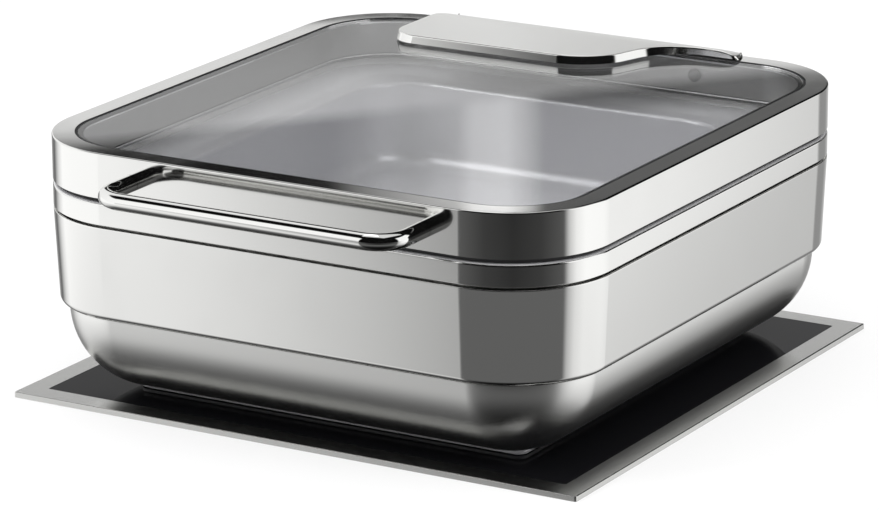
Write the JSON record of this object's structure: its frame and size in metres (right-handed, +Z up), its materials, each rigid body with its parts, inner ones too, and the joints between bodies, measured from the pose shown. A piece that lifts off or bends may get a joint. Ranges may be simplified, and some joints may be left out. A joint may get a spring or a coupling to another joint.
{
  "type": "chafing dish",
  "caption": "Square steel chafing dish with a hinged glass lid, loop handle, deep water pan and food pan, standing on a flat glass-topped plate.",
  "frame": {"origin": "centre of the plate's underside, where the whole set rests on a table", "axes": "+Z up, -Y towards the loop handle, +Y towards the hinge, +X to the right seen from the handle's side"},
  "size_m": [0.4506, 0.5269, 0.1985],
  "materials": {
    "polished_steel": "mirror-polished stainless steel",
    "satin_steel": "satin stainless steel",
    "black_glass": "glossy black glass",
    "clear_glass": "clear toughened glass",
    "silicone": "matt black silicone",
    "fastener_steel": "plain stainless steel"
  },
  "bodies": {
    "base_plate": {"plate_tray": "satin_steel", "plate_glass": "black_glass"},
    "dish": {"base_disc": "satin_steel", "water_pan": "polished_steel", "outer_shell": "polished_steel", "rim_frame": "polished_steel", "food_pan": "satin_steel", "hinge_backing": "satin_steel", "hinge_bracket_left": "polished_steel", "hinge_bracket_right": "polished_steel", "hinge_pin_left": "fastener_steel", "hinge_pin_right": "fastener_steel", "friction_washer_left_inner": "silicone", "friction_washer_left_outer": "silicone", "friction_washer_right_inner": "silicone", "friction_washer_right_outer": "silicone", "pin_clip_left": "fastener_steel", "pin_clip_right": "fastener_steel", "bracket_screw_1": "fastener_steel", "bracket_screw_2": "fastener_steel", "bracket_screw_3": "fastener_steel", "bracket_screw_4": "fastener_steel"},
    "lid": {"lid_ring": "polished_steel", "lid_foot_frame": "polished_steel", "glass_ledge": "polished_steel", "lid_inner_wall": "satin_steel", "lid_glass": "clear_glass", "glass_seal": "silicone", "lid_gasket": "silicone", "handle_loop": "polished_steel", "handle_screw_left": "fastener_steel", "handle_screw_right": "fastener_steel", "hinge_strap_left": "polished_steel", "hinge_strap_right": "polished_steel", "strap_bolt_left": "fastener_steel", "strap_bolt_right": "fastener_steel", "strap_screw_left": "fastener_steel", "strap_screw_right": "fastener_steel", "cover_screw_left": "fastener_steel", "cover_screw_right": "fastener_steel", "hinge_cover": "polished_steel"}
  },
  "joints": [
    {"name": "dish_lift", "type": "slide", "parent": "base_plate", "child": "dish", "axis": [0, 0, 1], "range_m": [0, 0.25]},
    {"name": "lid_hinge", "type": "hinge", "parent": "dish", "child": "lid", "pos_m": [0, 0.242, 0.152], "axis": [-1, 0, 0], "range_deg": [0, 90]}
  ]
}
